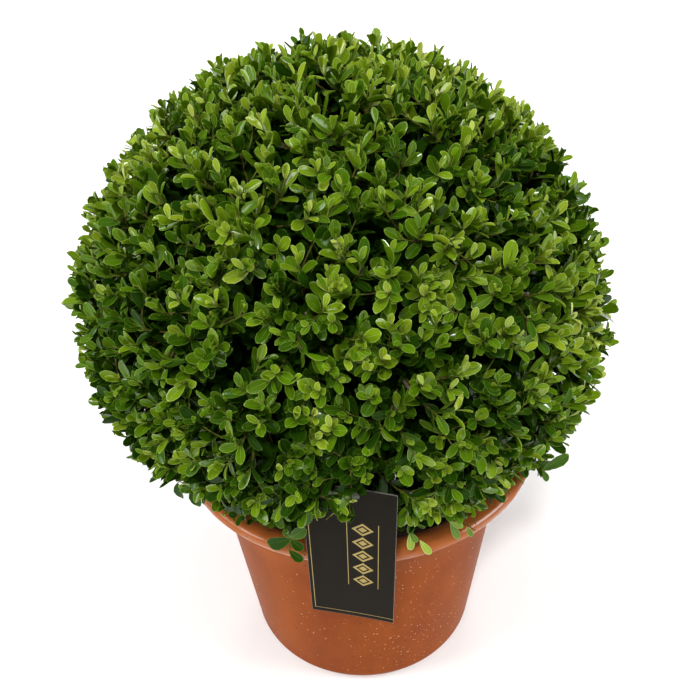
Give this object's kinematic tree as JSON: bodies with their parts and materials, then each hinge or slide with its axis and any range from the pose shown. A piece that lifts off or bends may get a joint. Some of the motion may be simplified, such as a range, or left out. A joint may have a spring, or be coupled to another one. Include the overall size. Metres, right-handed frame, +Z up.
{
  "type": "potted japanese holly",
  "caption": "Small-leaved evergreen holly clipped to a dense ball on a short trunk, in a round bell-mouthed terracotta-coloured pot with a bare black hanging label.",
  "frame": {"origin": "centre of the pot's flat underside", "axes": "+Z up through the plant, -Y towards the front where the label hangs, +X to the right as seen from the front"},
  "size_m": [0.4073, 0.4054, 0.5474],
  "materials": {
    "terracotta": "satin terracotta colour with pale flecks",
    "compost": "loose, dark and damp",
    "bark": "rough grey-brown bark",
    "foliage": "small glossy leaves",
    "card": "satin black with a thin gold rule"
  },
  "bodies": {
    "root": {"pot": "terracotta", "compost": "compost", "trunk": "bark", "bough_1": "bark", "bough_2": "bark", "bough_3": "bark", "bough_4": "bark", "bough_5": "bark", "crown": "foliage", "label": "card"}
  },
  "joints": []
}
